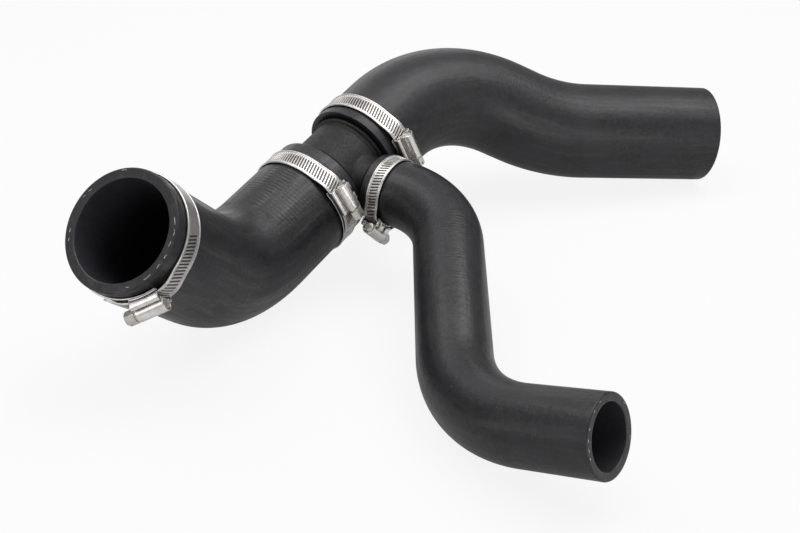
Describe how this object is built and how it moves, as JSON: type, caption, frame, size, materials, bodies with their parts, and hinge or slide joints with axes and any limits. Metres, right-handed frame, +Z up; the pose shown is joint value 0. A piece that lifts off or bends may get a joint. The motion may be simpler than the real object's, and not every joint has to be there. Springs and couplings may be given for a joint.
{
  "type": "radiator hose",
  "caption": "Moulded rubber coolant hoses clamped to a plastic T-piece with worm-drive hose clamps, with open ends for the necks they serve.",
  "frame": {"origin": "on the table, under the middle of the bounding box of the hose set as it lies", "axes": "+Z up from the table; +Y the longest side, from the branch hose mouth towards the upper hose; +X towards the open end of the upper hose"},
  "size_m": [0.3884, 0.4004, 0.1199],
  "materials": {
    "hose_rubber": "fabric-wrapped moulded rubber, satin",
    "tee_plastic": "moulded glass-filled nylon, satin",
    "clamp_steel": "rolled stainless strip, bright",
    "screw_steel": "zinc-plated, satin"
  },
  "bodies": {
    "hose_set": {"tee_connector": "tee_plastic", "hose_lower": "hose_rubber", "hose_upper": "hose_rubber", "hose_branch": "hose_rubber", "clamp_mouth_band": "clamp_steel", "clamp_mouth_saddle": "clamp_steel", "clamp_mouth_housing": "clamp_steel", "clamp_lower_band": "clamp_steel", "clamp_lower_saddle": "clamp_steel", "clamp_lower_housing": "clamp_steel", "clamp_upper_band": "clamp_steel", "clamp_upper_saddle": "clamp_steel", "clamp_upper_housing": "clamp_steel", "clamp_branch_band": "clamp_steel", "clamp_branch_saddle": "clamp_steel", "clamp_branch_housing": "clamp_steel"},
    "mouth_worm": {"clamp_mouth_screw": "screw_steel"},
    "lower_worm": {"clamp_lower_screw": "screw_steel"},
    "upper_worm": {"clamp_upper_screw": "screw_steel"},
    "branch_worm": {"clamp_branch_screw": "screw_steel"}
  },
  "joints": [
    {"name": "mouth_worm_turn", "type": "hinge", "parent": "hose_set", "child": "mouth_worm", "pos_m": [-0.14761, -0.11234, 0.06305], "axis": [-0.8954, 0.0111, -0.4451], "continuous": true},
    {"name": "lower_worm_turn", "type": "hinge", "parent": "hose_set", "child": "lower_worm", "pos_m": [-0.05748, 0.0113, 0.06188], "axis": [0.4728, -0.0307, -0.8806], "continuous": true},
    {"name": "upper_worm_turn", "type": "hinge", "parent": "hose_set", "child": "upper_worm", "pos_m": [-0.02033, 0.05846, 0.07361], "axis": [0.3682, 0.0633, -0.9276], "continuous": true},
    {"name": "branch_worm_turn", "type": "hinge", "parent": "hose_set", "child": "branch_worm", "pos_m": [-0.0422, 0.01934, 0.03439], "axis": [0.3986, 0.5994, -0.6941], "continuous": true}
  ]
}
